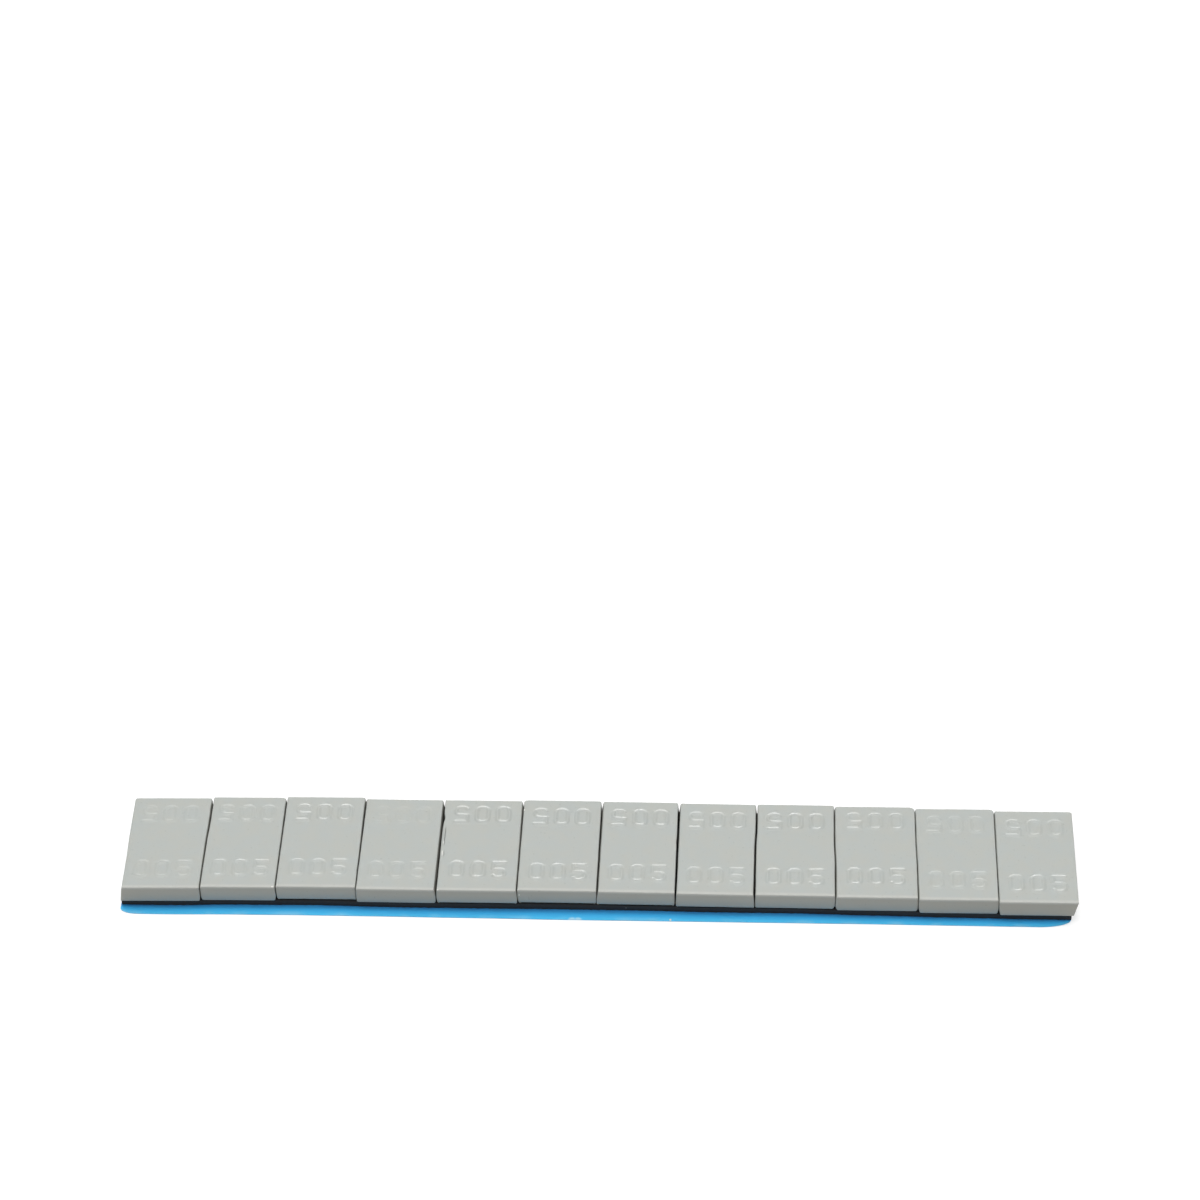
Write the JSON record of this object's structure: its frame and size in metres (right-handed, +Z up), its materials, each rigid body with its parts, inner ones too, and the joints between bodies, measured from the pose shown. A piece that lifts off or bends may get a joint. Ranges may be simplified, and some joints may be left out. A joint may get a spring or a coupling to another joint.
{
  "type": "adhesive wheel balance weight strip",
  "caption": "Strip of flat coated steel weights side by side on black foam tape with a blue release liner, for sticking inside a wheel rim.",
  "frame": {"origin": "middle of the release liner's underside, on the centreline of the straight strip", "axes": "+X along the strip to the right, +Y from the front edge, where the liner shows, to the back edge, +Z up out of the weights' tops"},
  "size_m": [0.1438, 0.0224, 0.0042],
  "materials": {
    "coated_steel": "light grey coating, satin, over pressed steel",
    "foam": "black closed-cell foam tape, matt",
    "liner": "light blue film, smooth"
  },
  "bodies": {
    "root": {"weight_01": "coated_steel", "weight_02": "coated_steel", "weight_03": "coated_steel", "weight_04": "coated_steel", "weight_05": "coated_steel", "weight_06": "coated_steel", "weight_07": "coated_steel", "weight_08": "coated_steel", "weight_09": "coated_steel", "weight_10": "coated_steel", "weight_11": "coated_steel", "weight_12": "coated_steel", "foam_tape": "foam", "release_liner": "liner"}
  },
  "joints": []
}
